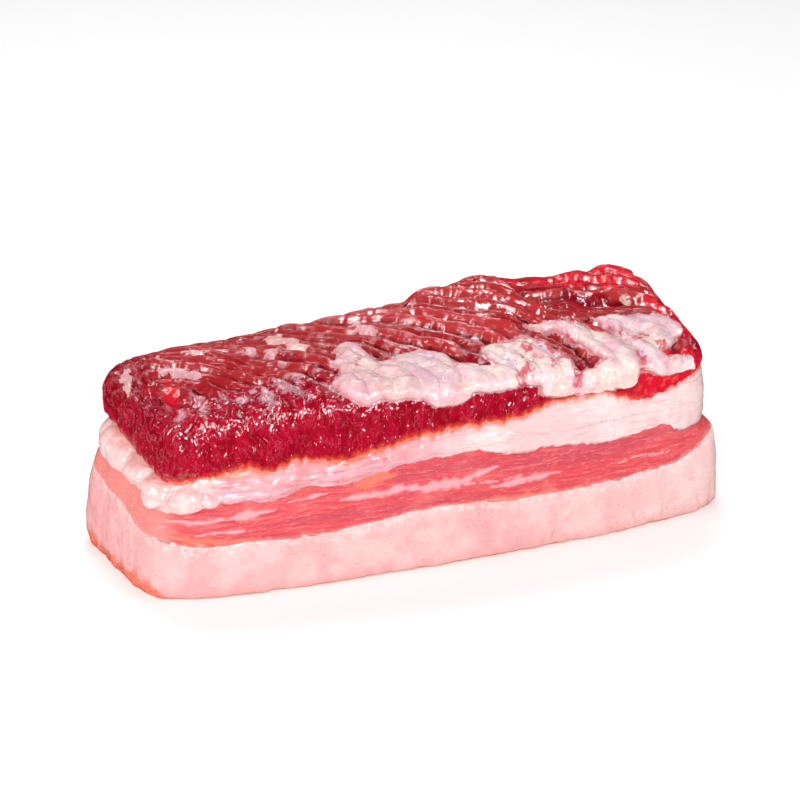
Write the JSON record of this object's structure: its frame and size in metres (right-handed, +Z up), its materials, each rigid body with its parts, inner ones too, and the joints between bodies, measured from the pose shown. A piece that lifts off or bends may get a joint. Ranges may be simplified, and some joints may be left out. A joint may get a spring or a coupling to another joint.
{
  "type": "pork belly slab",
  "caption": "Raw pork belly strip on its rind: thick back fat, a streak of lean, a soft fat seam and a ridged top muscle with patches of surface fat.",
  "frame": {"origin": "on the ground, under the middle of the slab's bounding box", "axes": "+X along the slab, -Y out of the front cut face, +Z up from the rind to the ridged top"},
  "size_m": [0.173, 0.0582, 0.0597],
  "materials": {
    "back_fat": "moist pale pink fat over a salmon rind",
    "lower_lean": "moist coral lean with pale streaks along the slab",
    "seam_fat": "moist white pink fat in soft folds",
    "upper_lean": "wet deep crimson meat in ridged bundles",
    "surface_fat": "wet white fat with a pink and lilac cast"
  },
  "bodies": {
    "root": {"back_fat": "back_fat", "lower_lean": "lower_lean", "seam_fat": "seam_fat", "upper_lean": "upper_lean", "surface_fat_middle": "surface_fat", "surface_fat_right": "surface_fat"}
  },
  "joints": []
}
